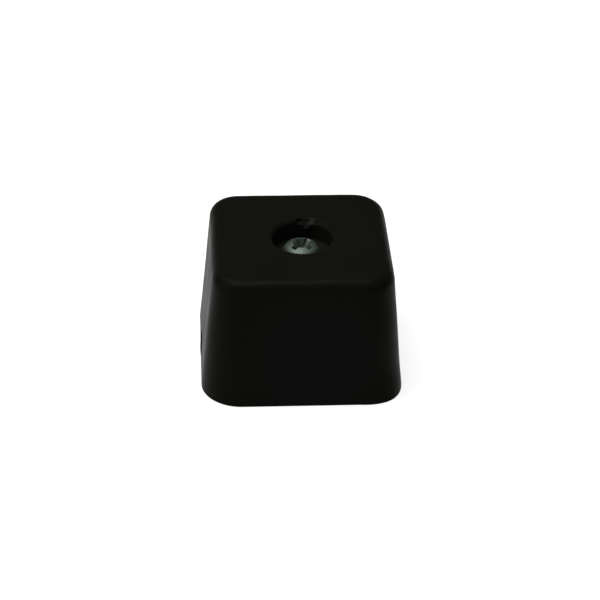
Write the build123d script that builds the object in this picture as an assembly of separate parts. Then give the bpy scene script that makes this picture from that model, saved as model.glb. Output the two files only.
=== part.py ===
from build123d import *
import math
import os

# Rubber foot: a tapered square block of black moulded rubber, with a round recess in its small
# end for the head of the zinc-plated pan head screw that fastens it through its middle.
# Millimetres. The origin is the centre of the base, +Z is up and the front face looks along -Y.

# Rubber block
base_width = 40.0           # across the flats at the base, before its edge is trimmed
foot_height = 27.0
draft_angle = 5.2           # degrees that every side leans in
corner_radius = 8.0         # upright corners, at the base
top_edge_radius = 2.5       # rounded edge all round the small end
base_edge_bevel = 0.1       # flat left round the base where the moulding flash is trimmed

# Recess for the screw head, in the small end
recess_diameter = 12.0
recess_depth = 4.2
recess_rim_radius = 0.9     # rounded mouth

# Scar where the mould's gate was torn off, low on the left side
gate_scar_width = 4.0
gate_scar_depth = 0.6
gate_scar_height = 2.2      # its centre, above the base
gate_scar_offset = -2.6     # its centre along Y

# Pan head screw
head_diameter = 7.5
head_height = 2.8
head_crown_radius = 6.2
head_side_radius = 1.8
thread_diameter = 3.9
point_length = 3.0          # tapered point
point_flat_diameter = 0.6   # blunt end of the point
tip_clearance = 0.8         # from the point to the plane of the base

# Cross recess in the head
cross_span = 4.6            # across the wings, at the crown
cross_floor_span = 1.9      # across the wings, at their foot
cross_wing_width = 1.0
cross_core_diameter = 2.3   # round middle, at the crown
cross_depth = 2.1
cross_turn = 45.0           # degrees from the X axis

# Fits
screw_clearance = 0.25      # each side, between the thread and the rubber
overcut = 1.0               # how far a cutter runs past the face that it opens

seat_height = foot_height - recess_depth
bore_diameter = thread_diameter + 2 * screw_clearance


def tapered_block():
    """The block as its mould is cut: flat sides and cone-shaped corners with draft, and a round top edge."""
    outline = RectangleRounded(base_width, base_width, corner_radius)
    block = extrude(outline, foot_height, taper=draft_angle)
    block = fillet(block.edges().group_by(Axis.Z)[-1], top_edge_radius)
    return chamfer(block.edges().group_by(Axis.Z)[0], base_edge_bevel)


def recess_cutter():
    """What the mould's pin leaves: a round pocket with a flat floor and a rounded mouth."""
    radius = recess_diameter / 2
    mouth = radius + recess_rim_radius
    rim_start = foot_height - recess_rim_radius
    outline = [
        Line((0, seat_height), (radius, seat_height)),
        Line((radius, seat_height), (radius, rim_start)),
        CenterArc((mouth, rim_start), recess_rim_radius, 180, -90),
        Line((mouth, foot_height), (mouth, foot_height + overcut)),
        Line((mouth, foot_height + overcut), (0, foot_height + overcut)),
        Line((0, foot_height + overcut), (0, seat_height)),
    ]
    return revolve(Plane.XZ * make_face(outline), Axis.Z)


def bore_cutter():
    """The hole for the screw, from below the base into the recess."""
    length = seat_height + 2 * overcut
    return Pos(0, 0, seat_height / 2) * Cylinder(bore_diameter / 2, length)


def gate_scar_cutter():
    """A ball that dips into the left side where the gate was torn off."""
    side = base_width / 2 - gate_scar_height * math.tan(math.radians(draft_angle))
    ball_radius = ((gate_scar_width / 2) ** 2 + gate_scar_depth ** 2) / (2 * gate_scar_depth)
    ball_x = -(side + ball_radius - gate_scar_depth)
    return Pos(ball_x, gate_scar_offset, gate_scar_height) * Sphere(ball_radius)


def rubber_foot():
    """The moulded block with its recess, its screw hole and its gate scar."""
    return tapered_block() - recess_cutter() - bore_cutter() - gate_scar_cutter()


def pan_head():
    """The head, standing on its seat: a straight skirt that rolls over into a shallow crown."""
    radius = head_diameter / 2
    crown_centre = head_height - head_crown_radius
    side_x = radius - head_side_radius
    centre_gap = head_crown_radius - head_side_radius
    side_z = crown_centre + math.sqrt(centre_gap ** 2 - side_x ** 2)
    turn = math.degrees(math.acos(side_x / centre_gap))
    outline = [
        Line((0, 0), (radius, 0)),
        Line((radius, 0), (radius, side_z)),
        CenterArc((side_x, side_z), head_side_radius, 0, turn),
        CenterArc((0, crown_centre), head_crown_radius, turn, 90 - turn),
        Line((0, head_height), (0, 0)),
    ]
    return revolve(Plane.XZ * make_face(outline), Axis.Z)


def cross_cutter():
    """The driver recess: two crossed wings that narrow as they go down, round a tapered core."""
    foot = head_height - cross_depth
    slope = (cross_span - cross_floor_span) / 2 / cross_depth
    half_mouth = cross_span / 2 + slope * overcut
    half_floor = cross_floor_span / 2
    mouth = head_height + overcut
    side_view = Polyline(
        (-half_floor, foot),
        (half_floor, foot),
        (half_mouth, mouth),
        (-half_mouth, mouth),
        close=True,
    )
    wing = extrude(Plane.XZ * make_face(side_view), cross_wing_width / 2, both=True)
    core_slope = (cross_core_diameter - cross_wing_width) / 2 / cross_depth
    core_mouth = cross_core_diameter / 2 + core_slope * overcut
    core_height = cross_depth + overcut
    core = Pos(0, 0, foot + core_height / 2) * Cone(cross_wing_width / 2, core_mouth, core_height)
    cross = wing + Rot(0, 0, 90) * wing + core
    return Rot(0, 0, cross_turn) * cross


def screw_shank():
    """The threaded length at its full diameter, and its tapered point, hanging from the seat."""
    length = seat_height - tip_clearance
    radius = thread_diameter / 2
    outline = Polyline(
        (0, 0),
        (radius, 0),
        (radius, point_length - length),
        (point_flat_diameter / 2, -length),
        (0, -length),
        close=True,
    )
    return revolve(Plane.XZ * make_face(outline), Axis.Z)


def mounting_screw():
    """The screw, with its head down on the recess floor."""
    screw = pan_head() + screw_shank() - cross_cutter()
    return Pos(0, 0, seat_height) * screw


os.makedirs("parts", exist_ok=True)
export_step(rubber_foot(), "parts/rubber_foot.step")
export_step(mounting_screw(), "parts/mounting_screw.step")
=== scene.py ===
# %% [markdown]
# # A moulded rubber foot and its screw
#
# The object is a block of black rubber, about 40 mm square, that screws under a cabinet or a case.
# Its small end has a round recess that sinks the head of a zinc-plated pan head screw.
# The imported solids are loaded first, as a fixed frame. They give the width, the height and the
# place, and the finished pieces are built round them, in metres, and never move them.

# %% The frame
import math

import bmesh
import bpy
from mathutils import Matrix, Vector


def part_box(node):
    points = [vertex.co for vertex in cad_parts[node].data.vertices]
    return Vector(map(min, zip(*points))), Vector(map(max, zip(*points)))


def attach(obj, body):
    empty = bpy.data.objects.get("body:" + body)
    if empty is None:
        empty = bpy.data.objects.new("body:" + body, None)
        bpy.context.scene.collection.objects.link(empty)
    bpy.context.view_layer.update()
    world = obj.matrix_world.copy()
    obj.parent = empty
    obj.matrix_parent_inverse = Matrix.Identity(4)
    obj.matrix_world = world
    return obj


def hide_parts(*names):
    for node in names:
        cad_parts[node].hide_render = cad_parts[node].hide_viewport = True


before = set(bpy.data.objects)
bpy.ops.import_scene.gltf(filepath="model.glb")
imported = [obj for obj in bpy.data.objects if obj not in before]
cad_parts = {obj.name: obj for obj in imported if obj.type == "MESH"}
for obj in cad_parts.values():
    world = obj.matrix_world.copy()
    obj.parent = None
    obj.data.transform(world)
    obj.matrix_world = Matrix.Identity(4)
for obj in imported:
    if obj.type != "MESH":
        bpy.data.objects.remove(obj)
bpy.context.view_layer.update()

MM = 0.001
scene = bpy.context.scene
foot_low, foot_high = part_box("rubber_foot")
screw_low, screw_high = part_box("mounting_screw")
foot_height = foot_high.z
print("Foot, mm:", [round(v / MM, 2) for v in foot_high - foot_low])
print("Screw, mm:", [round(v / MM, 2) for v in screw_high - screw_low])

# %% [markdown]
# ## Colours and nodes
#
# Every colour below is written as the hex value that a paint program would show, so one function
# turns it into the linear light values that the renderer works in.
# Both shaders and geometry are trees of nodes, and each node needs the same three things: its
# settings, its plain values and its links. One function does all three, so that each line below
# reads as one node. The kinds that come up most often get a short name. Noise seldom comes near
# 0 or 1, so where it drives a roughness, only its middle range is used.

# %% Colours and nodes
MATH = "ShaderNodeMath"
VECTOR_MATH = "ShaderNodeVectorMath"
MAP_RANGE = "ShaderNodeMapRange"
NOISE = "ShaderNodeTexNoise"
SPLIT = "ShaderNodeSeparateXYZ"
JOIN = "ShaderNodeCombineXYZ"
POSITION = "GeometryNodeInputPosition"
PLACE = "GeometryNodeSetPosition"
NOISE_RANGE = {"From Min": 0.3, "From Max": 0.7}


def linear(hex_colour):
    """Turns "#rrggbb" into linear red, green, blue and alpha, by the sRGB curve."""
    channels = []
    for start in (1, 3, 5):
        value = int(hex_colour[start:start + 2], 16) / 255
        dark = value <= 0.04045
        channels.append(value / 12.92 if dark else ((value + 0.055) / 1.055) ** 2.4)
    return (*channels, 1.0)


def add_node(tree, kind, inputs=(), **settings):
    """Adds a node. Its inputs go in order, or by name, and each one is a plain value, a socket to
    link from, or a whole node, which stands for its first output."""
    node = tree.nodes.new(kind)
    for name, value in settings.items():
        setattr(node, name, value)
    named = inputs if isinstance(inputs, dict) else dict(enumerate(inputs))
    for key, value in named.items():
        source = value.outputs[0] if isinstance(value, bpy.types.Node) else value
        if isinstance(source, bpy.types.NodeSocket):
            tree.links.new(source, node.inputs[key])
        else:
            node.inputs[key].default_value = source
    return node


def new_material(name):
    """An empty material, its tree and its output node."""
    material = bpy.data.materials.new(name)
    material.use_nodes = True
    material.node_tree.nodes.clear()
    output = add_node(material.node_tree, "ShaderNodeOutputMaterial")
    return material, material.node_tree, output


print("Middle grey in linear light:", round(linear("#808080")[0], 3))

# %% [markdown]
# ## Carbon-black rubber, compression moulded
#
# The block is natural rubber filled with carbon black and pressed in a steel mould. Carbon black
# swallows nearly all light, so the colour is close to black with a trace of olive, and what the
# eye sees is the skin: a weak, soft reflection that only grows bright where the surface turns
# away. Real rubber has an index of about 1.52. This block's skin is duller than that alone would
# give, because the mould was matt, so the reflection is turned down at the specular level.
# Three patterns break it up: a bloom of wax and dust some 9 mm across that dulls it in patches,
# the grain of the blasted mould at 0.35 mm, and shallow flow marks of about 5 mm. An image of
# rubber could show them too, but noise has no seams and its sizes are plain numbers.
# Three marks have a skin of their own. The stub of the gate low on the left side is torn, and raw
# rubber has no sheen at all. The notch in the far rim of the recess is dull, and the nick beside it
# is rubbed smooth and glints. Each is a mask by distance from its spot, in the object's own
# coordinates, so that it needs no painting and stays with the mark in the shape.
# Two wider masks of the same kind change the colour, and both are painted light: the recess is
# painted a lighter grey, which stands in for the overhead light that reaches its floor, and the
# lower middle of the front is painted a lighter, more neutral grey than the olive round it, which
# stands in for the light that falls on the front.

# %% Marks on the skin
STUB_SPOT = Vector((-20.1, 0.2, 1.2)) * MM
STUB_REACH = 3.8 * MM
STUB_EDGE = 1.2 * MM
NICK_SPOT = Vector((2.2, 6.2, 26.6)) * MM
NICK_REACH = 1.4 * MM
NOTCH_SPOT = Vector((-0.15, 6.4, 26.6)) * MM
NOTCH_REACH = 1.1 * MM
MARK_EDGE = 0.4 * MM
# Painted light: round this spot the recess is coloured lighter, standing in for the overhead light on its
# floor and walls.
RECESS_LIGHT_SPOT = Vector((0.2, 0.0, 22.8)) * MM
RECESS_LIGHT_REACH = 7.8 * MM
RECESS_LIGHT_EDGE = 1.2 * MM
# Painted light: round this spot the lower middle of the front is coloured lighter and more neutral,
# standing in for the light that falls on it.
FRONT_LIGHT_SPOT = Vector((2.5, -19.0, 10.5)) * MM
FRONT_LIGHT_REACH = 18.0 * MM
FRONT_LIGHT_EDGE = 9.0 * MM


def mask_near(tree, place, spot, reach, edge, inside, outside):
    """A value that changes, over the width of an edge, at this reach from a spot."""
    gap = add_node(tree, VECTOR_MATH, (place, spot), operation="DISTANCE").outputs["Value"]
    ends = {"From Min": reach - edge, "From Max": reach, "To Min": inside, "To Max": outside}
    return add_node(tree, MAP_RANGE, {"Value": gap, **ends})


for mark, spot in (("Stub", STUB_SPOT), ("Notch", NOTCH_SPOT), ("Nick", NICK_SPOT)):
    print(mark, "at, mm:", [round(v / MM, 1) for v in spot])

# %% Rubber material
RUBBER_SHADES = ("#0f100a", "#13140d")
# Painted light: a lighter grey for the recess.
PAINTED_RECESS_LIGHT = "#191a16"
# Painted light: a lighter, more neutral grey for the front.
PAINTED_FRONT_LIGHT = "#141413"
BLOOM_SIZE = 9 * MM
FLOW_SIZE = 5 * MM
FLOW_DEPTH = 0.05 * MM
FLOW_STRENGTH = 0.25
GRAIN_SIZE = 0.35 * MM
GRAIN_DEPTH = 0.02 * MM
GRAIN_STRENGTH = 0.35
RUBBER_INDEX = 1.52
SHEEN = 0.022
SKIN_ROUGHNESS = (0.36, 0.46)
NOTCH_ROUGHNESS = 0.95
NICK_ROUGHNESS = 0.22


def make_rubber():
    """Black rubber: nearly black body, weak soft skin, bloom, mould grain, flow marks, painted light in
    the recess and on the front.
    """
    material, tree, output = new_material("moulded black rubber")
    place = add_node(tree, "ShaderNodeTexCoord").outputs["Object"]
    bloom = add_node(tree, NOISE, {"Vector": place, "Scale": 1 / BLOOM_SIZE, "Detail": 4.0})
    grain = add_node(tree, NOISE, {"Vector": place, "Scale": 1 / GRAIN_SIZE, "Detail": 2.0})
    flow = add_node(tree, NOISE, {"Vector": place, "Scale": 1 / FLOW_SIZE, "Detail": 1.0})
    body = {"Factor": bloom, "A": linear(RUBBER_SHADES[0]), "B": linear(RUBBER_SHADES[1])}
    colour = add_node(tree, "ShaderNodeMix", body, data_type="RGBA").outputs["Result"]
    # Painted light: the recess and the front are mixed towards lighter greys that stand in for the light
    # falling on them.
    for spot, reach, edge, painted_light in (
        (RECESS_LIGHT_SPOT, RECESS_LIGHT_REACH, RECESS_LIGHT_EDGE, PAINTED_RECESS_LIGHT),
        (FRONT_LIGHT_SPOT, FRONT_LIGHT_REACH, FRONT_LIGHT_EDGE, PAINTED_FRONT_LIGHT),
    ):
        mask = mask_near(tree, place, spot, reach, edge, 1.0, 0.0)
        tinted = {"Factor": mask, "A": colour, "B": linear(painted_light)}
        colour = add_node(tree, "ShaderNodeMix", tinted, data_type="RGBA").outputs["Result"]
    dulled = {"Value": bloom, "To Min": SKIN_ROUGHNESS[0], "To Max": SKIN_ROUGHNESS[1]}
    roughness = add_node(tree, MAP_RANGE, {**dulled, **NOISE_RANGE})
    for spot, reach, inside, outside, choice in (
        (NOTCH_SPOT, NOTCH_REACH, NOTCH_ROUGHNESS, 0.0, "MAXIMUM"),
        (NICK_SPOT, NICK_REACH, NICK_ROUGHNESS, 1.0, "MINIMUM"),
    ):
        mask = mask_near(tree, place, spot, reach, MARK_EDGE, inside, outside)
        roughness = add_node(tree, MATH, (roughness, mask), operation=choice)
    sheen = mask_near(tree, place, STUB_SPOT, STUB_REACH, STUB_EDGE, 0.0, SHEEN)
    flow_height = {"Height": flow, "Strength": FLOW_STRENGTH, "Distance": FLOW_DEPTH}
    flow_bump = add_node(tree, "ShaderNodeBump", flow_height)
    grain_height = {"Height": grain, "Strength": GRAIN_STRENGTH, "Distance": GRAIN_DEPTH}
    grain_bump = add_node(tree, "ShaderNodeBump", {"Normal": flow_bump, **grain_height})
    skin = add_node(
        tree,
        "ShaderNodeBsdfPrincipled",
        {
            "Base Color": colour,
            "Roughness": roughness,
            "Normal": grain_bump,
            "IOR": RUBBER_INDEX,
            "Specular IOR Level": sheen,
        },
    )
    tree.links.new(skin.outputs["BSDF"], output.inputs["Surface"])
    return material


rubber = make_rubber()
print("Made", rubber.name, "with", len(rubber.node_tree.nodes), "nodes")

# %% [markdown]
# ## Zinc plating on steel
#
# The screw is cold-headed steel wire, barrel plated with a few micrometres of zinc and dipped in
# a passivate that leaves a thin greenish film. The film and the knocks of the barrel make it a dull
# metal: broad, soft highlights, and a grey with a cool green in it. A clear coat over bare metal
# could stand for the film, but so thin a film only tints what the metal reflects, so a tinted
# metal is enough. The plating is rougher in patches of about 0.8 mm, and it is crossed by faint
# scratches 0.1 mm wide, drawn as a noise stretched along one axis.

# %% Zinc material
ZINC_SHADES = ("#5b655e", "#6a746d")
ZINC_ROUGHNESS = (0.54, 0.66)
SCUFF_SIZE = 0.8 * MM
SCRATCH_WIDTH = 0.1 * MM
SCRATCH_DEPTH = 0.01 * MM
SCRATCH_STRENGTH = 0.3
SCRATCH_STRETCH = 12.0
SCRATCH_TURN = math.radians(25)


def make_zinc():
    """Dull zinc-plated steel with barrel scuffs and fine scratches."""
    material, tree, output = new_material("zinc plated steel")
    place = add_node(tree, "ShaderNodeTexCoord").outputs["Object"]
    scuffs = add_node(tree, NOISE, {"Vector": place, "Scale": 1 / SCUFF_SIZE, "Detail": 3.0})
    drawn_out = {"Rotation": (0.0, 0.0, SCRATCH_TURN), "Scale": (1.0, 1 / SCRATCH_STRETCH, 1.0)}
    along = add_node(tree, "ShaderNodeMapping", {"Vector": place, **drawn_out})
    scratches = add_node(tree, NOISE, {"Vector": along, "Scale": 1 / SCRATCH_WIDTH, "Detail": 1.0})
    film = {"Factor": scuffs, "A": linear(ZINC_SHADES[0]), "B": linear(ZINC_SHADES[1])}
    colour = add_node(tree, "ShaderNodeMix", film, data_type="RGBA").outputs["Result"]
    scuffed = {"Value": scuffs, "To Min": ZINC_ROUGHNESS[0], "To Max": ZINC_ROUGHNESS[1]}
    roughness = add_node(tree, MAP_RANGE, {**scuffed, **NOISE_RANGE})
    scratch_height = {"Height": scratches, "Strength": SCRATCH_STRENGTH, "Distance": SCRATCH_DEPTH}
    bump = add_node(tree, "ShaderNodeBump", scratch_height)
    plating = add_node(
        tree,
        "ShaderNodeBsdfPrincipled",
        {"Base Color": colour, "Roughness": roughness, "Normal": bump, "Metallic": 1.0},
    )
    tree.links.new(plating.outputs["BSDF"], output.inputs["Surface"])
    return material


zinc = make_zinc()
print("Made", zinc.name, "with", len(zinc.node_tree.nodes), "nodes")

# %% [markdown]
# ## Running a geometry tree
#
# The block and the thread both follow a rule, so each is a Geometry Nodes tree with named sizes.
# A tree's interface lists those names, and the modifier keeps their values under identifiers, so
# the function grow looks each one up. The result is turned into a plain mesh and the modifier
# goes, because what is exported has to be a mesh of its own.
# Objects are made from data, not with the operators behind the buttons, because those depend on
# what happens to be selected.


# %% Trees and grids
def new_tree(name, sockets):
    """A geometry tree with one input for each (name, kind), and the nodes at its two ends."""
    tree = bpy.data.node_groups.new(name, "GeometryNodeTree")
    tree.interface.new_socket("Geometry", in_out="OUTPUT", socket_type="NodeSocketGeometry")
    for socket_name, kind in sockets:
        tree.interface.new_socket(socket_name, in_out="INPUT", socket_type="NodeSocket" + kind)
    return tree, add_node(tree, "NodeGroupInput").outputs, add_node(tree, "NodeGroupOutput")


def count_grid(tree, rows, columns):
    """A flat grid, and the column and the row that each of its points is in."""
    row_span = add_node(tree, MATH, (rows, 1.0), operation="SUBTRACT")
    more = add_node(tree, MATH, (columns, 1.0), operation="ADD")
    counts = {"Size X": columns, "Size Y": row_span, "Vertices X": more, "Vertices Y": rows}
    grid = add_node(tree, "GeometryNodeMeshGrid", counts)
    place = add_node(tree, SPLIT, (add_node(tree, POSITION),)).outputs
    numbers = []
    for span, across in ((columns, place["X"]), (row_span, place["Y"])):
        number = add_node(tree, MATH, (span, 0.5, across), operation="MULTIPLY_ADD")
        numbers.append(add_node(tree, MATH, (number,), operation="ROUND"))
    return grid, numbers[0], numbers[1]


def read_row(tree, outline, row):
    """The three numbers that an outline keeps as X, Y and Z for this row."""
    source = {"Geometry": outline, "Value": add_node(tree, POSITION), "Index": row}
    point = add_node(tree, "GeometryNodeSampleIndex", source, data_type="FLOAT_VECTOR")
    return add_node(tree, SPLIT, (point,)).outputs


def close_tree(tree, shape, material, result):
    """The last nodes: nothing is left as an instance, and the faces get their material."""
    plain = add_node(tree, "GeometryNodeRealizeInstances", (shape,))
    finished = add_node(tree, "GeometryNodeSetMaterial", {"Geometry": plain, "Material": material})
    tree.links.new(finished.outputs[0], result.inputs[0])


# %% From tree to mesh
def make_mesh(name, points, edges=(), faces=()):
    """A mesh from its points and from the edges and faces between them."""
    mesh = bpy.data.meshes.new(name)
    mesh.from_pydata(points, edges, faces)
    return mesh


def add_object(name, data):
    """Adds an object with this mesh, lamp or camera to the scene."""
    added = bpy.data.objects.new(name, data)
    scene.collection.objects.link(added)
    return added


def bake(piece):
    """Turns what the modifiers make into the piece's own mesh."""
    evaluated = piece.evaluated_get(bpy.context.evaluated_depsgraph_get())
    mesh = bpy.data.meshes.new_from_object(evaluated)
    piece.modifiers.clear()
    piece.data = mesh


def grow(name, tree, values):
    """Runs a tree with these values and returns its result as an object with a plain mesh."""
    piece = add_object(name, bpy.data.meshes.new(name))
    modifier = piece.modifiers.new(tree.name, "NODES")
    modifier.node_group = tree
    for item in tree.interface.items_tree:
        if item.in_out == "INPUT":
            modifier[item.identifier] = values[item.name]
    bake(piece)
    return piece


def report(piece):
    """Prints a piece's size and how many faces and open edges it has."""
    shape = bmesh.new()
    shape.from_mesh(piece.data)
    open_edges = sum(not edge.is_manifold for edge in shape.edges)
    volume = shape.calc_volume(signed=True) / MM ** 3
    size = [round(v / MM, 2) for v in piece.dimensions]
    print(piece.name, "mm:", size, "faces:", len(shape.faces), end=" ")
    print("open edges:", open_edges, "mm3:", round(volume))
    shape.free()


print("Ready to grow pieces")

# %% [markdown]
# ## The block: a square grown by a radius
#
# A drafted block with round corners has a simple rule. Take a plain square whose corners are the
# centres of the round ones. Every level of the block is that square grown outwards by a radius,
# and the draft only makes the radius smaller with height. The recess and the screw hole are the
# same rule with the square shrunk to nothing, which leaves a circle. So each level needs three
# numbers: how much of the square there is (1, 0, or less than 1 on the way across a flat face),
# the radius and the height.
# The section below lists those levels all the way round a cut through the block: base, trimmed
# edge, side, rounded top edge, top, recess mouth, recess wall and floor, and screw hole.
# A cube with bevels and a Boolean would come close to this shape, but its faces would be long and
# uneven, and only small even faces can carry the marks of the mould. The levels lie closer together
# low on the side, where the gate's stub is, than they do above it. The sizes are those of the
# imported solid, with a small radius added at the foot of the recess's wall.

# %% Sizes of the block
DRAFT = math.radians(5.2)
CORNER_RADIUS = 8.0 * MM
TOP_EDGE_RADIUS = 2.5 * MM
BASE_EDGE = 0.1 * MM
RECESS_RADIUS = 6.0 * MM
RECESS_DEPTH = 4.2 * MM
RIM_RADIUS = 0.9 * MM
FLOOR_CORNER = 0.3 * MM
BORE_RADIUS = 2.2 * MM
STUB_ZONE = 4.5 * MM
seat_height = foot_height - RECESS_DEPTH
base_half = foot_high.x + BASE_EDGE * math.cos(DRAFT) * math.tan(DRAFT)
core_half = base_half - CORNER_RADIUS
print("Half width of the square core, mm:", round(core_half / MM, 2))


# %% The section
def run(start, end, steps):
    """Levels spaced evenly from start up to, but not including, end."""
    return [Vector(start).lerp(Vector(end), i / steps) for i in range(steps)]


def round_over(squareness, centre_radius, centre_height, radius, first, last, steps):
    """Levels along an arc, from one angle up to, but not including, another."""
    levels = []
    for i in range(steps):
        angle = first + (last - first) * i / steps
        across = centre_radius + radius * math.cos(angle)
        levels.append(Vector((squareness, across, centre_height + radius * math.sin(angle))))
    return levels


def side_radius(height):
    """The radius of the block's corners at a height."""
    return CORNER_RADIUS - height * math.tan(DRAFT)


quarter = math.pi / 2
edge_height = foot_height - TOP_EDGE_RADIUS
edge_centre = side_radius(edge_height) - TOP_EDGE_RADIUS / math.cos(DRAFT)
side_start = (1, side_radius(BASE_EDGE), BASE_EDGE)
stub_top = (1, side_radius(STUB_ZONE), STUB_ZONE)
side_end_height = edge_height + TOP_EDGE_RADIUS * math.sin(DRAFT)
side_end = (1, side_radius(side_end_height), side_end_height)
rim_centre = RECESS_RADIUS + RIM_RADIUS
rim_height = foot_height - RIM_RADIUS
floor_centre = RECESS_RADIUS - FLOOR_CORNER
floor_height = seat_height + FLOOR_CORNER

section = run((0, BORE_RADIUS, 0), (1, CORNER_RADIUS - BASE_EDGE, 0), steps=12)
section += run((1, CORNER_RADIUS - BASE_EDGE, 0), side_start, steps=2)
section += run(side_start, stub_top, steps=16)
section += run(stub_top, side_end, steps=30)
section += round_over(1, edge_centre, edge_height, TOP_EDGE_RADIUS, DRAFT, quarter, steps=12)
section += run((1, edge_centre, foot_height), (0, rim_centre, foot_height), steps=16)
section += round_over(0, rim_centre, rim_height, RIM_RADIUS, quarter, 2 * quarter, steps=8)
section += run((0, RECESS_RADIUS, rim_height), (0, RECESS_RADIUS, floor_height), steps=15)
section += round_over(0, floor_centre, floor_height, FLOOR_CORNER, 0, -quarter, steps=3)
section += run((0, floor_centre, seat_height), (0, BORE_RADIUS, seat_height), steps=5)
section += run((0, BORE_RADIUS, seat_height), (0, BORE_RADIUS, 0), steps=16)
section.append(section[0])

joined = [(i, i + 1) for i in range(len(section) - 1)]
section_object = add_object("block section", make_mesh("block section", section, joined))
print("Levels in the section:", len(section))

# %% [markdown]
# The tree lays out a flat grid, one row for each level and one column for each step around the
# block, and then puts each point where the rule says. A quarter turn is one straight side and one
# corner, so the rule is worked out for one quarter and turned by 90 degrees for the others.
# After that the last row and column meet the first, and merging them closes the surface.
# Rubber shrinks unevenly as it cures, so the tree adds a slow noise of a few hundredths of a
# millimetre. It is what breaks up the highlight along the top edge. Where the flash was trimmed, the
# base edge is left a little ragged. The mould's pin stood a little to the right, so the recess does
# too: half of that offset moves the recess to the right, and half moves the block to the left.
# Two corners came out of true: the front right one flares at the base, and the far right one is
# drawn in at the top. Those are soft pushes that fade out over some millimetres, and so are the
# stub that the gate left low on the left side and a small flap of torn rubber on the far wall of
# the recess. The nick and the notch in the far rim are balls that press the skin in.
# All this could be sculpted by hand, but then it couldn't follow a change of size.

# %% The block's inputs
PUSHES = ("Near Corner", "Far Corner", "Torn Flap", "Gate Stub")
DENTS = ("Rim Nick", "Rim Notch")
block_sockets = [
    ("Section", "Object"),
    ("Core", "Float"),
    ("Side Columns", "Int"),
    ("Corner Columns", "Int"),
    ("Recess Offset", "Vector"),
    ("Wave Size", "Float"),
    ("Wave Height", "Float"),
    ("Flash Size", "Float"),
    ("Flash Height", "Float"),
    ("Flash Reach", "Float"),
    ("Seed", "Float"),
    ("Material", "Material"),
]
for push in PUSHES:
    block_sockets += [(push + " Spot", "Vector"), (push + " Reach", "Float"), (push + " Move", "Vector")]
for dent in DENTS:
    block_sockets += [(dent + " Centre", "Vector"), (dent + " Radius", "Float")]
print("Inputs of the block:", len(block_sockets))


# %% The rule of the block
MERGE_GAP = 0.001 * MM


def lay_out_block(tree, given):
    """Lays the grid out level by level: a square core grown by a radius, or a plain circle."""
    source = add_node(tree, "GeometryNodeObjectInfo", {"Object": given["Section"]})
    section_shape = source.outputs["Geometry"]
    rows = add_node(tree, "GeometryNodeAttributeDomainSize", (section_shape,)).outputs["Point Count"]
    sides, core = given["Side Columns"], given["Core"]
    per_quarter = add_node(tree, MATH, (sides, given["Corner Columns"]), operation="ADD")
    columns = add_node(tree, MATH, (per_quarter, 4.0), operation="MULTIPLY")
    grid, column, row = count_grid(tree, rows, columns)
    quarters = add_node(tree, MATH, (column, per_quarter), operation="DIVIDE")
    turn = add_node(tree, MATH, (quarters,), operation="FLOOR")
    done = add_node(tree, MATH, (turn, per_quarter), operation="MULTIPLY")
    step = add_node(tree, MATH, (column, done), operation="SUBTRACT")
    numbers = read_row(tree, section_shape, row)
    squareness, radius, height = numbers["X"], numbers["Y"], numbers["Z"]

    minus_core = add_node(tree, MATH, (core, -1.0), operation="MULTIPLY")
    whole_side = {"Value": step, "From Max": sides, "To Min": minus_core, "To Max": core}
    along = add_node(tree, MAP_RANGE, whole_side)
    corner = {"Value": step, "From Min": sides, "From Max": per_quarter, "To Max": quarter}
    corner_angle = add_node(tree, MAP_RANGE, corner)
    half_side = add_node(tree, MATH, (sides, 0.5), operation="MULTIPLY")
    past_middle = add_node(tree, MATH, (step, half_side), operation="SUBTRACT")
    share = add_node(tree, MATH, (past_middle, per_quarter), operation="DIVIDE")
    circle_angle = add_node(tree, MATH, (share, quarter), operation="MULTIPLY")
    ways = []
    for angle in (circle_angle, corner_angle):
        across = add_node(tree, MATH, (angle,), operation="COSINE")
        upward = add_node(tree, MATH, (angle,), operation="SINE")
        ways.append(add_node(tree, JOIN, (across, upward)))
    blend = {"Factor": squareness, "A": ways[0], "B": ways[1]}
    way = add_node(tree, "ShaderNodeMix", blend, data_type="VECTOR").outputs["Result"]

    core_across = add_node(tree, MATH, (core, squareness), operation="MULTIPLY")
    core_along = add_node(tree, MATH, (along, squareness), operation="MULTIPLY")
    core_point = add_node(tree, JOIN, (core_across, core_along, height))
    grown = add_node(tree, VECTOR_MATH, {"Vector": way, "Scale": radius}, operation="SCALE")
    spot = add_node(tree, VECTOR_MATH, (core_point, grown), operation="ADD")
    angle = add_node(tree, MATH, (turn, quarter), operation="MULTIPLY")
    turned = add_node(
        tree, "ShaderNodeVectorRotate", {"Vector": spot, "Angle": angle}, rotation_type="Z_AXIS"
    )
    part = add_node(tree, MATH, (0.5, squareness), operation="SUBTRACT")
    sideways = add_node(
        tree, VECTOR_MATH, {"Vector": given["Recess Offset"], "Scale": part}, operation="SCALE"
    )
    laid = add_node(tree, PLACE, {"Geometry": grid, "Position": turned, "Offset": sideways})
    return add_node(tree, "GeometryNodeMergeByDistance", {"Geometry": laid, "Distance": MERGE_GAP})


print("Points closer than this merge, mm:", round(MERGE_GAP / MM, 4))


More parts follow.
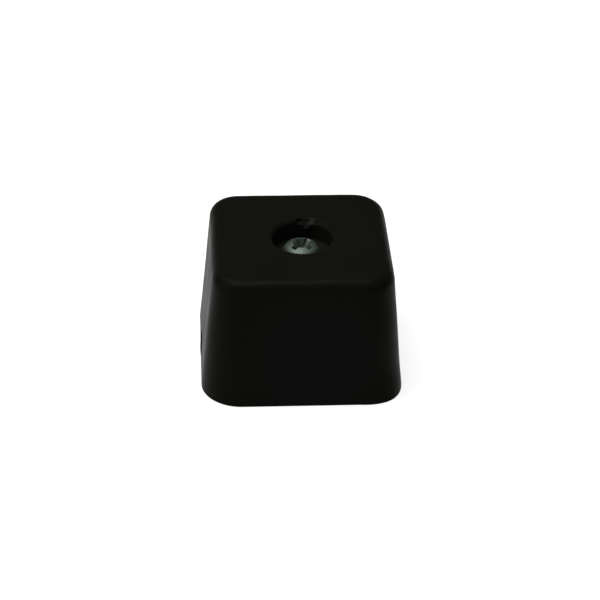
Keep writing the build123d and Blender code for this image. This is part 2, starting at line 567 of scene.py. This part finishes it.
# %% The uneven skin
def cure(tree, given, shape):
    """Lifts the skin by a slow noise, and by a fine one near the trimmed base edge."""
    here = add_node(tree, POSITION)
    level = add_node(tree, SPLIT, (here,)).outputs["Z"]
    fade = {"From Max": given["Flash Reach"], "To Min": 1.0, "To Max": 0.0}
    near_base = add_node(tree, MAP_RANGE, {"Value": level, **fade})
    off_base = add_node(tree, MAP_RANGE, {"Value": level, "From Max": BASE_EDGE})
    rise = 0.0
    for name, detail, strength in (("Wave", 1.0, 1.0), ("Flash", 2.0, near_base)):
        scale = add_node(tree, MATH, (1.0, given[name + " Size"]), operation="DIVIDE")
        pattern = {"Vector": here, "W": given["Seed"], "Scale": scale, "Detail": detail}
        noise = add_node(tree, NOISE, pattern, noise_dimensions="4D")
        swing = add_node(tree, MATH, (noise, 0.5), operation="SUBTRACT")
        height = add_node(tree, MATH, (swing, given[name + " Height"]), operation="MULTIPLY")
        rise = add_node(tree, MATH, (height, strength, rise), operation="MULTIPLY_ADD")
    lift = add_node(tree, MATH, (rise, off_base), operation="MULTIPLY")
    outward = add_node(tree, "GeometryNodeInputNormal")
    offset = add_node(tree, VECTOR_MATH, {"Vector": outward, "Scale": lift}, operation="SCALE")
    return add_node(tree, PLACE, {"Geometry": shape, "Offset": offset})


def push_skin(tree, given, shape, name):
    """Moves the skin round a spot, most at the spot and not at all beyond the reach."""
    ends = (add_node(tree, POSITION), given[name + " Spot"])
    gap = add_node(tree, VECTOR_MATH, ends, operation="DISTANCE")
    fade = add_node(
        tree,
        MAP_RANGE,
        {"Value": gap.outputs["Value"], "From Max": given[name + " Reach"], "To Min": 1.0, "To Max": 0.0},
        interpolation_type="SMOOTHSTEP",
    )
    move = add_node(tree, VECTOR_MATH, {"Vector": given[name + " Move"], "Scale": fade}, operation="SCALE")
    return add_node(tree, PLACE, {"Geometry": shape, "Offset": move})


def press_ball(tree, given, shape, name):
    """Moves what lies inside a ball out to the ball's surface."""
    centre, radius = given[name + " Centre"], given[name + " Radius"]
    from_centre = add_node(tree, VECTOR_MATH, (add_node(tree, POSITION), centre), operation="SUBTRACT")
    gap = add_node(tree, VECTOR_MATH, (from_centre,), operation="LENGTH").outputs["Value"]
    inside = add_node(tree, MATH, (gap, radius), operation="LESS_THAN")
    way = add_node(tree, VECTOR_MATH, (from_centre,), operation="NORMALIZE")
    reach = add_node(tree, VECTOR_MATH, {"Vector": way, "Scale": radius}, operation="SCALE")
    spot = add_node(tree, VECTOR_MATH, (centre, reach), operation="ADD")
    return add_node(tree, PLACE, {"Geometry": shape, "Selection": inside, "Position": spot})


# %% The block's tree
def make_block_tree():
    """The rule of the block, its uneven skin and its marks as a tree of geometry nodes."""
    tree, given, result = new_tree("drafted block", block_sockets)
    shape = cure(tree, given, lay_out_block(tree, given))
    for name in PUSHES:
        shape = push_skin(tree, given, shape, name)
    for name in DENTS:
        shape = press_ball(tree, given, shape, name)
    close_tree(tree, shape, given["Material"], result)
    return tree


block_tree = make_block_tree()
print("Block tree:", len(block_tree.nodes), "nodes")

# %% Growing the block
RECESS_OFFSET = 0.4 * MM


def shade_smooth(piece, crease):
    """Smooth shading, kept sharp where faces meet at more than the crease angle, in degrees."""
    piece.data.shade_smooth()
    piece.data.set_sharp_from_angle(angle=math.radians(crease))


foot = grow(
    "rubber_block",
    block_tree,
    {
        "Section": section_object,
        "Core": core_half,
        "Side Columns": 48,
        "Corner Columns": 14,
        "Recess Offset": (RECESS_OFFSET, 0.0, 0.0),
        "Near Corner Spot": Vector((17.5, -17.7, 0.0)) * MM,
        "Near Corner Reach": 7.5 * MM,
        "Near Corner Move": Vector((0.46, -0.46, 0.0)) * MM,
        "Far Corner Spot": Vector((15.3, 15.5, 25.5)) * MM,
        "Far Corner Reach": 7.0 * MM,
        "Far Corner Move": Vector((-0.26, -0.26, 0.0)) * MM,
        "Torn Flap Spot": Vector((1.4, 5.95, 25.4)) * MM,
        "Torn Flap Reach": 1.2 * MM,
        "Torn Flap Move": Vector((0.0, -0.8, 0.0)) * MM,
        "Gate Stub Spot": STUB_SPOT,
        "Gate Stub Reach": STUB_REACH,
        "Gate Stub Move": Vector((-0.1, 0.0, 0.0)) * MM,
        "Rim Nick Centre": Vector((1.85, 4.9, 28.85)) * MM,
        "Rim Nick Radius": 2.8 * MM,
        "Rim Notch Centre": Vector((-0.15, 6.0, 26.75)) * MM,
        "Rim Notch Radius": 0.8 * MM,
        "Wave Size": 7 * MM,
        "Wave Height": 0.12 * MM,
        "Flash Size": 1.6 * MM,
        "Flash Height": 0.1 * MM,
        "Flash Reach": 1.2 * MM,
        "Seed": 3.0,
        "Material": rubber,
    },
)
bpy.data.objects.remove(section_object)
shade_smooth(foot, crease=40)
report(foot)

# %% [markdown]
# ## The screw's head
#
# The head is a body of revolution: a straight skirt that rolls over into a shallow crown. Spun
# from a short outline it has even rings, which take the cross recess cleanly. The recess is cut
# with a Boolean, as the header's punch does: two crossed wings that narrow on the way down, round a
# stout tapered core. The head has the solid's sizes and the cross is a little larger than there.
# The punch reaches above the crown, and its core goes a trace deeper than its wings, so that no two
# faces lie in one plane, where a Boolean can't tell inside from outside.

# %% Sizes of the head
HEAD_RADIUS = 3.75 * MM
HEAD_HEIGHT = 2.8 * MM
CROWN_RADIUS = 6.2 * MM
HEAD_SIDE_RADIUS = 1.8 * MM
CROSS_SPAN = 5.8 * MM
CROSS_FLOOR_SPAN = 1.9 * MM
WING_WIDTH = 1.2 * MM
CROSS_CORE = 3.4 * MM
CROSS_CORE_FLOOR = 2.6 * MM
CROSS_DEPTH = 2.1 * MM
CROSS_TURN = math.radians(45)
HEAD_SEGMENTS = 64
ARC_STEPS = 8
print("Head across and high, mm:", round(2 * HEAD_RADIUS / MM, 2), round(HEAD_HEIGHT / MM, 2))


# %% The head
def spin_outline(name, outline, segments):
    """Spins an outline of (radius, height) points round Z and closes it at the axis."""
    shape = bmesh.new()
    points = [shape.verts.new((radius, 0, height)) for radius, height in outline]
    edges = [shape.edges.new(pair) for pair in zip(points, points[1:])]
    bmesh.ops.spin(
        shape,
        geom=points + edges,
        axis=(0, 0, 1),
        cent=(0, 0, 0),
        angle=2 * math.pi,
        steps=segments,
        use_merge=True,
    )
    bmesh.ops.remove_doubles(shape, verts=shape.verts, dist=MERGE_GAP)
    bmesh.ops.recalc_face_normals(shape, faces=shape.faces)
    mesh = bpy.data.meshes.new(name)
    shape.to_mesh(mesh)
    shape.free()
    return add_object(name, mesh)


crown_centre = HEAD_HEIGHT - CROWN_RADIUS
roll_across = HEAD_RADIUS - HEAD_SIDE_RADIUS
roll_gap = CROWN_RADIUS - HEAD_SIDE_RADIUS
roll_height = crown_centre + math.sqrt(roll_gap ** 2 - roll_across ** 2)
roll_turn = math.acos(roll_across / roll_gap)
head_outline = [(0.0, 0.0), (HEAD_RADIUS / 2, 0.0), (HEAD_RADIUS, 0.0), (HEAD_RADIUS, roll_height)]
for start, end, across, height, radius in (
    (0.0, roll_turn, roll_across, roll_height, HEAD_SIDE_RADIUS),
    (roll_turn, quarter, 0.0, crown_centre, CROWN_RADIUS),
):
    for i in range(1, ARC_STEPS + 1):
        angle = start + (end - start) * i / ARC_STEPS
        head_outline.append((across + radius * math.cos(angle), height + radius * math.sin(angle)))
head = spin_outline("screw head", head_outline, HEAD_SEGMENTS)
report(head)


# %% The punch
PUNCH_RISE = 1.0 * MM
CORE_EXTRA = 0.05 * MM
PUNCH_SEGMENTS = 32
wing_slope = (CROSS_SPAN - CROSS_FLOOR_SPAN) / 2 / CROSS_DEPTH


def make_wings(name):
    """The punch's wings: a cross whose arms narrow from above the crown down to their foot."""
    levels = (
        (HEAD_HEIGHT - CROSS_DEPTH, CROSS_FLOOR_SPAN / 2),
        (HEAD_HEIGHT + PUNCH_RISE, CROSS_SPAN / 2 + wing_slope * PUNCH_RISE),
    )
    half_width = WING_WIDTH / 2
    points = []
    for level, reach in levels:
        for arm in range(4):
            turn = Matrix.Rotation(CROSS_TURN + arm * quarter, 3, "Z")
            points.append(turn @ Vector((half_width, -half_width, level)))
            points.append(turn @ Vector((reach, -half_width, level)))
            points.append(turn @ Vector((reach, half_width, level)))
    around = len(points) // 2
    faces = [tuple(reversed(range(around))), tuple(range(around, 2 * around))]
    for i in range(around):
        after = (i + 1) % around
        faces.append((i, after, after + around, i + around))
    return add_object(name, make_mesh(name, points, faces=faces))


core_level = HEAD_HEIGHT - CROSS_DEPTH - CORE_EXTRA
core_slope = (CROSS_CORE - CROSS_CORE_FLOOR) / 2 / CROSS_DEPTH
core_top = (CROSS_CORE / 2 + core_slope * PUNCH_RISE, HEAD_HEIGHT + PUNCH_RISE)
core_outline = [(0.0, core_level), (CROSS_CORE_FLOOR / 2, core_level), core_top, (0.0, core_top[1])]
punch = (make_wings("punch wings"), spin_outline("punch core", core_outline, PUNCH_SEGMENTS))
for piece in punch:
    report(piece)


# %% The cross recess
def combine(piece, other, operation):
    """Cuts or joins another object and removes it."""
    modifier = piece.modifiers.new(operation, "BOOLEAN")
    modifier.operation = operation
    modifier.solver = "EXACT"
    modifier.object = other
    bake(piece)
    bpy.data.objects.remove(other)


for piece in punch:
    combine(head, piece, "DIFFERENCE")
report(head)

# %% [markdown]
# ## The thread
#
# A thread is one small profile, a ridge with a flat crest, swept along a helix. The tree lays a
# grid whose rows are the points of that profile and whose columns follow the helix. One turn
# further on, the last row lies exactly on the first, so merging makes a closed skin. The height
# is clamped at both ends and the radius runs out to nothing there, which closes the point and
# the end that is buried in the head. The ridge rises from nothing over its first turns, as it does
# where the rolling dies let go. A Screw modifier could sweep the profile too, but it can't fade the
# ridge in or run it out to a point.

# %% The thread's tree
thread_sockets = [
    ("Profile", "Object"),
    ("Turns", "Int"),
    ("Turn Columns", "Int"),
    ("Pitch", "Float"),
    ("Top", "Float"),
    ("Length", "Float"),
    ("Root Radius", "Float"),
    ("Point Length", "Float"),
    ("Material", "Material"),
]
RUN_IN_TURNS = (1.2, 2.4)
THREAD_MERGE_GAP = 0.002 * MM


def make_thread_tree():
    """The rule of the thread as a tree of geometry nodes."""
    tree, given, result = new_tree("wood screw thread", thread_sockets)
    profile = add_node(tree, "GeometryNodeObjectInfo", {"Object": given["Profile"]}).outputs["Geometry"]
    rows = add_node(tree, "GeometryNodeAttributeDomainSize", (profile,)).outputs["Point Count"]
    columns = add_node(tree, MATH, (given["Turns"], given["Turn Columns"]), operation="MULTIPLY")
    grid, column, row = count_grid(tree, rows, columns)
    point = read_row(tree, profile, row)
    ridge, share = point["X"], point["Y"]

    turned = add_node(tree, MATH, (column, given["Turn Columns"]), operation="DIVIDE")
    pitches = add_node(tree, MATH, (turned, share), operation="ADD")
    fall = add_node(tree, MATH, (pitches, given["Pitch"]), operation="MULTIPLY")
    start = add_node(tree, MATH, (given["Top"], given["Pitch"]), operation="ADD")
    free_height = add_node(tree, MATH, (start, fall), operation="SUBTRACT")
    bottom = add_node(tree, MATH, (given["Length"], -1.0), operation="MULTIPLY")
    height = add_node(tree, "ShaderNodeClamp", (free_height, bottom, given["Top"]))

    rising = {"Value": turned, "From Min": RUN_IN_TURNS[0], "From Max": RUN_IN_TURNS[1]}
    run_in = add_node(tree, MAP_RANGE, rising)
    above_point = add_node(tree, MATH, (height, given["Length"]), operation="ADD")
    taper = add_node(tree, MAP_RANGE, {"Value": above_point, "From Max": given["Point Length"]})
    just_below = add_node(tree, MATH, (given["Top"], MERGE_GAP), operation="SUBTRACT")
    buried = add_node(tree, MATH, (height, just_below), operation="LESS_THAN")
    full = add_node(tree, MATH, (ridge, run_in, given["Root Radius"]), operation="MULTIPLY_ADD")
    pointed = add_node(tree, MATH, (full, taper), operation="MULTIPLY")
    radius = add_node(tree, MATH, (pointed, buried), operation="MULTIPLY")

    angle = add_node(tree, MATH, (turned, -2 * math.pi), operation="MULTIPLY")
    sides = []
    for operation in ("COSINE", "SINE"):
        side = add_node(tree, MATH, (angle,), operation=operation)
        sides.append(add_node(tree, MATH, (radius, side), operation="MULTIPLY"))
    spot = add_node(tree, JOIN, (sides[0], sides[1], height))
    laid = add_node(tree, PLACE, {"Geometry": grid, "Position": spot})
    merging = {"Geometry": laid, "Distance": THREAD_MERGE_GAP}
    closed = add_node(tree, "GeometryNodeMergeByDistance", merging)
    close_tree(tree, closed, given["Material"], result)
    return tree


thread_tree = make_thread_tree()
print("Thread tree:", len(thread_tree.nodes), "nodes")

# %% [markdown]
# The profile is a list of points, each a height above the root and a share of the pitch. The
# shank starts inside the head, so that the two can be joined into one skin, and it gets two more
# turns than its length holds, which the clamp then folds into its ends.

# %% Growing the shank
THREAD_RADIUS = 1.95 * MM
ROOT_RADIUS = 1.45 * MM
PITCH = 1.3 * MM
POINT_LENGTH = 3.0 * MM
RIDGE_SHARES = (0.24, 0.76)
CREST_SHARES = (0.46, 0.54)
HEAD_OVERLAP = 0.4 * MM
SPARE_TURNS = 2
screw_length = seat_height - screw_low.z
ridge_height = THREAD_RADIUS - ROOT_RADIUS
profile = [
    (0, 0, 0),
    (0, RIDGE_SHARES[0], 0),
    (ridge_height, CREST_SHARES[0], 0),
    (ridge_height, CREST_SHARES[1], 0),
    (0, RIDGE_SHARES[1], 0),
    (0, 1, 0),
]
profile_object = add_object("thread profile", make_mesh("thread profile", profile))
turns = math.ceil((screw_length + HEAD_OVERLAP) / PITCH) + SPARE_TURNS
shank = grow(
    "screw shank",
    thread_tree,
    {
        "Profile": profile_object,
        "Turns": turns,
        "Turn Columns": 40,
        "Pitch": PITCH,
        "Top": HEAD_OVERLAP,
        "Length": screw_length,
        "Root Radius": ROOT_RADIUS,
        "Point Length": POINT_LENGTH,
        "Material": zinc,
    },
)
bpy.data.objects.remove(profile_object)
report(shank)

# %% [markdown]
# The head and the shank are joined into one skin. A Bevel then softens each sharp edge by about
# a tenth of a millimetre, and that is what catches the light along the wings. The screw is moved
# up to its seat on the recess floor, and a trace to the right, as the play in its hole lets it.

# %% Finishing the screw
EDGE_SOFTENING = 0.13 * MM
SCREW_OFFSET = 0.05 * MM
screw = head
screw.name = "zinc_pan_head_screw"
combine(screw, shank, "UNION")
soften = screw.modifiers.new("soft edges", "BEVEL")
soften.width = EDGE_SOFTENING
soften.segments = 2
soften.limit_method = "ANGLE"
soften.angle_limit = math.radians(40)
bake(screw)
screw.data.transform(Matrix.Translation((SCREW_OFFSET, 0, seat_height)))
screw.data.materials.clear()
screw.data.materials.append(zinc)
shade_smooth(screw, crease=35)
report(screw)

# %% [markdown]
# ## Floor, light and camera
#
# The floor is white card. Its own colour takes the object's soft shadow, and a little added white
# that only the camera and the reflections see brings its lit part up to paper white. A stronger
# lamp would whiten it too, but it would also grey the rubber. The light is plain: a dim pale room,
# one soft lamp overhead and a little to the left, which reaches the floor of the recess, and a
# weaker one from the left.

# %% Floor
FLOOR_SPAN = 4.0
FLOOR_LIFT = 0.77


def make_floor_material():
    """White card, lifted to paper white for camera, glossy and transmission rays."""
    material, tree, output = new_material("white card")
    card = add_node(tree, "ShaderNodeBsdfDiffuse", {"Color": linear("#b4b4b4")})
    ray = add_node(tree, "ShaderNodeLightPath").outputs
    seen = ray["Is Camera Ray"]
    for kind in ("Is Glossy Ray", "Is Transmission Ray"):
        seen = add_node(tree, MATH, (seen, ray[kind]), operation="MAXIMUM")
    strength = add_node(tree, MATH, (seen, FLOOR_LIFT), operation="MULTIPLY")
    lift = add_node(tree, "ShaderNodeEmission", {"Color": (1, 1, 1, 1), "Strength": strength})
    both = add_node(tree, "ShaderNodeAddShader", (card, lift))
    tree.links.new(both.outputs[0], output.inputs["Surface"])
    return material


half_floor = FLOOR_SPAN / 2
floor_corners = [(x * half_floor, y * half_floor, 0) for x, y in ((-1, -1), (1, -1), (1, 1), (-1, 1))]
floor = add_object("floor", make_mesh("floor", floor_corners, faces=[(0, 1, 2, 3)]))
floor.data.materials.append(make_floor_material())
print("Floor, m:", FLOOR_SPAN)

# %% Light
ROOM_STRENGTH = 0.18
world = bpy.data.worlds.new("pale room")
world.use_nodes = True
world.node_tree.nodes.clear()
pale = {"Color": linear("#f4f6f8"), "Strength": ROOM_STRENGTH}
room = add_node(world.node_tree, "ShaderNodeBackground", pale)
add_node(world.node_tree, "ShaderNodeOutputWorld", {"Surface": room})
scene.world = world


def add_lamp(name, position, target, width, power):
    """A square lamp of soft light that faces a target."""
    light = bpy.data.lights.new(name, "AREA")
    light.size = width
    light.energy = power
    lamp = add_object(name, light)
    lamp.location = position
    lamp.rotation_mode = "QUATERNION"
    lamp.rotation_quaternion = (target - Vector(position)).to_track_quat("-Z", "Y")
    print(name, "stands", round((target - Vector(position)).length, 2), "m away")


middle = Vector((0, 0, foot_height / 2))
add_lamp("overhead lamp", position=(-0.12, 0.05, 0.59), target=middle, width=0.36, power=2.7)
add_lamp("left lamp", position=(-0.5, -0.2, 0.35), target=middle, width=0.3, power=0.5)

# %% [markdown]
# The camera stands a little left of the front and looks down on the foot from 34 degrees, with a
# long lens, because the block's upright edges hardly converge. It is rolled by one degree. Its
# numbers come from a fit of the block's outline, which gives the lens in pixels and the column and
# row of the picture that the block's middle falls on, so they are turned into Blender's terms here.
# The plain Standard view shows the colours as they are, without a film curve.

# %% Camera
IMAGE_WIDTH = 600
AZIMUTH = math.radians(-3.69)
ELEVATION = math.radians(33.58)
ROLL = math.radians(1.17)
DISTANCE = 0.400
FOCAL_PIXELS = 1984.5
MIDDLE_COLUMN = 300.2
MIDDLE_ROW = 293.1
NEAREST_SEEN = 0.01

back = Vector((
    math.sin(AZIMUTH) * math.cos(ELEVATION),
    -math.cos(AZIMUTH) * math.cos(ELEVATION),
    math.sin(ELEVATION),
))
camera_data = bpy.data.cameras.new("camera")
camera_data.lens = camera_data.sensor_width * FOCAL_PIXELS / IMAGE_WIDTH
camera_data.clip_start = NEAREST_SEEN
camera = add_object("camera", camera_data)
camera.rotation_mode = "QUATERNION"
level = (-back).to_track_quat("-Z", "Y")
camera.rotation_quaternion = level @ Matrix.Rotation(ROLL, 3, "Z").to_quaternion()
pixel = DISTANCE / FOCAL_PIXELS
column_offset = (IMAGE_WIDTH / 2 - MIDDLE_COLUMN) * pixel
row_offset = (IMAGE_WIDTH / 2 - MIDDLE_ROW) * pixel
sideways = camera.rotation_quaternion @ Vector((1, 0, 0))
upwards = camera.rotation_quaternion @ Vector((0, 1, 0))
camera.location = middle + back * DISTANCE + sideways * column_offset - upwards * row_offset
scene.camera = camera
scene.view_settings.view_transform = "Standard"
print("Lens, mm:", round(camera_data.lens, 1))

# %% [markdown]
# ## Handing over
#
# Both pieces ride on the one body and stand for the plain solids, which are then hidden.

# %% Registering the pieces
for piece, node, finish in (
    (foot, "rubber_foot", "black_rubber"),
    (screw, "mounting_screw", "zinc_plated_steel"),
):
    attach(piece, "root")
    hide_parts(node)
